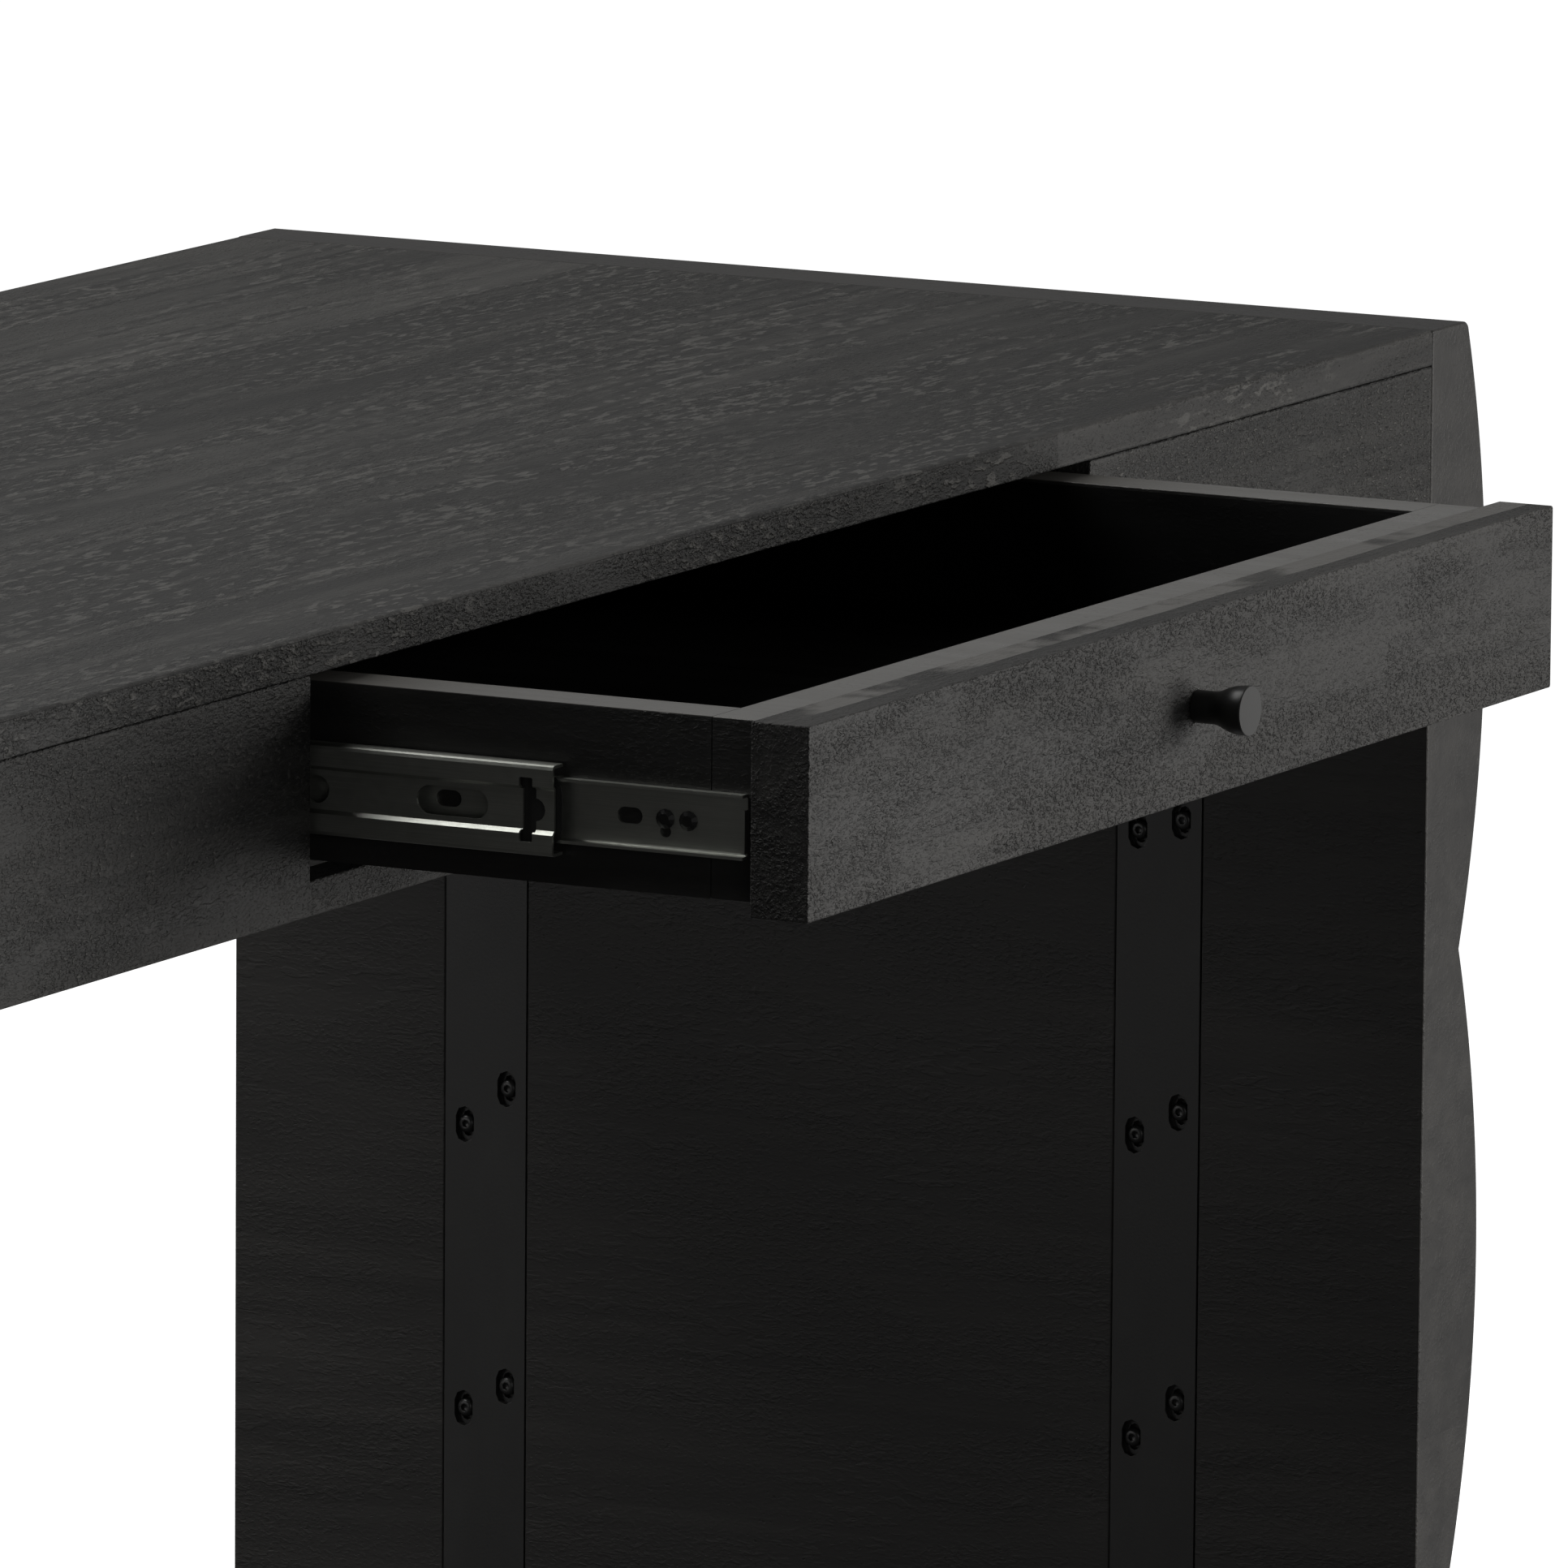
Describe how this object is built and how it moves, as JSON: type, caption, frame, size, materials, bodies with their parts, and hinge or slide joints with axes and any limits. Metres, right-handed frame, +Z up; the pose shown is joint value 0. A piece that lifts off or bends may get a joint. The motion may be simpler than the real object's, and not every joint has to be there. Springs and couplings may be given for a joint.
{
  "type": "console table with drawer",
  "caption": "Console table in black-stained open-grain wood: scalloped slab ends, flush planked top and one inset drawer on ball-bearing slides.",
  "frame": {"origin": "on the floor under the middle of the box that holds the table and its open drawer", "axes": "+X along the table to its right-hand end as seen from the front, +Y from the drawer to the back, +Z up"},
  "size_m": [1.4396, 0.8396, 0.84],
  "materials": {
    "board_wood": "black-brown stain, brushed open grain, satin",
    "panel_wood": "black stain, satin",
    "apron_wood": "black stain, fine open grain",
    "drawer_front_wood": "black stain, open pores, a little greyer",
    "drawer_box_wood": "near-black lacquer, smooth",
    "plain_wood": "dull black stain, unseen pieces",
    "bar_steel": "satin black",
    "slide_zinc": "bright zinc",
    "knob_steel": "satin black",
    "screw_steel": "black oxide",
    "dull_plastic": "matt black"
  },
  "bodies": {
    "table": {"tabletop": "board_wood", "front_apron": "apron_wood", "back_apron": "apron_wood", "left_end_panel": "panel_wood", "left_top_tongue": "plain_wood", "left_slide_runner": "plain_wood", "left_front_steel_bar": "bar_steel", "left_front_glide": "dull_plastic", "left_front_corner_block": "plain_wood", "left_back_steel_bar": "bar_steel", "left_back_glide": "dull_plastic", "left_back_corner_block": "plain_wood", "left_cabinet_member": "slide_zinc", "left_cabinet_member_screw_1": "screw_steel", "left_cabinet_member_screw_2": "screw_steel", "left_cabinet_member_screw_3": "screw_steel", "right_end_panel": "panel_wood", "right_top_tongue": "plain_wood", "right_slide_runner": "plain_wood", "right_front_steel_bar": "bar_steel", "right_front_glide": "dull_plastic", "right_front_corner_block": "plain_wood", "right_back_steel_bar": "bar_steel", "right_back_glide": "dull_plastic", "right_back_corner_block": "plain_wood", "right_cabinet_member": "slide_zinc", "right_cabinet_member_screw_1": "screw_steel", "right_cabinet_member_screw_2": "screw_steel", "right_cabinet_member_screw_3": "screw_steel"},
    "drawer": {"drawer_front": "drawer_front_wood", "drawer_box_front": "drawer_box_wood", "drawer_box_back": "drawer_box_wood", "drawer_bottom": "drawer_box_wood", "drawer_left_side": "drawer_box_wood", "drawer_right_side": "drawer_box_wood", "drawer_knob": "knob_steel", "knob_screw": "screw_steel", "left_drawer_member": "slide_zinc", "left_drawer_member_screw_1": "screw_steel", "left_drawer_member_screw_2": "screw_steel", "left_drawer_member_screw_3": "screw_steel", "right_drawer_member": "slide_zinc", "right_drawer_member_screw_1": "screw_steel", "right_drawer_member_screw_2": "screw_steel", "right_drawer_member_screw_3": "screw_steel"},
    "left_middle": {"left_middle_member": "slide_zinc", "left_slide_bumper": "dull_plastic"},
    "left_outer_cage": {"left_outer_ball_cage": "slide_zinc"},
    "left_inner_cage": {"left_inner_ball_cage": "slide_zinc"},
    "right_middle": {"right_middle_member": "slide_zinc", "right_slide_bumper": "dull_plastic"},
    "right_outer_cage": {"right_outer_ball_cage": "slide_zinc"},
    "right_inner_cage": {"right_inner_ball_cage": "slide_zinc"}
  },
  "joints": [
    {"name": "drawer_slide", "type": "slide", "parent": "table", "child": "drawer", "axis": [0, -1, 0], "range_m": [-0.2155, 0.2845]},
    {"name": "left_middle_slide", "type": "slide", "parent": "table", "child": "left_middle", "axis": [0, -1, 0], "range_m": [-0.13533, 0.17867]},
    {"name": "left_outer_cage_slide", "type": "slide", "parent": "table", "child": "left_outer_cage", "axis": [0, -1, 0], "range_m": [-0.06767, 0.08933]},
    {"name": "left_inner_cage_slide", "type": "slide", "parent": "table", "child": "left_inner_cage", "axis": [0, -1, 0], "range_m": [-0.17542, 0.23158]},
    {"name": "right_middle_slide", "type": "slide", "parent": "table", "child": "right_middle", "axis": [0, -1, 0], "range_m": [-0.13533, 0.17867]},
    {"name": "right_outer_cage_slide", "type": "slide", "parent": "table", "child": "right_outer_cage", "axis": [0, -1, 0], "range_m": [-0.06767, 0.08933]},
    {"name": "right_inner_cage_slide", "type": "slide", "parent": "table", "child": "right_inner_cage", "axis": [0, -1, 0], "range_m": [-0.17542, 0.23158]}
  ],
  "couplings": [
    {"joint": "left_middle_slide", "follows": "drawer_slide", "ratio": 0.628},
    {"joint": "left_outer_cage_slide", "follows": "drawer_slide", "ratio": 0.314},
    {"joint": "left_inner_cage_slide", "follows": "drawer_slide", "ratio": 0.814},
    {"joint": "right_middle_slide", "follows": "drawer_slide", "ratio": 0.628},
    {"joint": "right_outer_cage_slide", "follows": "drawer_slide", "ratio": 0.314},
    {"joint": "right_inner_cage_slide", "follows": "drawer_slide", "ratio": 0.814}
  ]
}
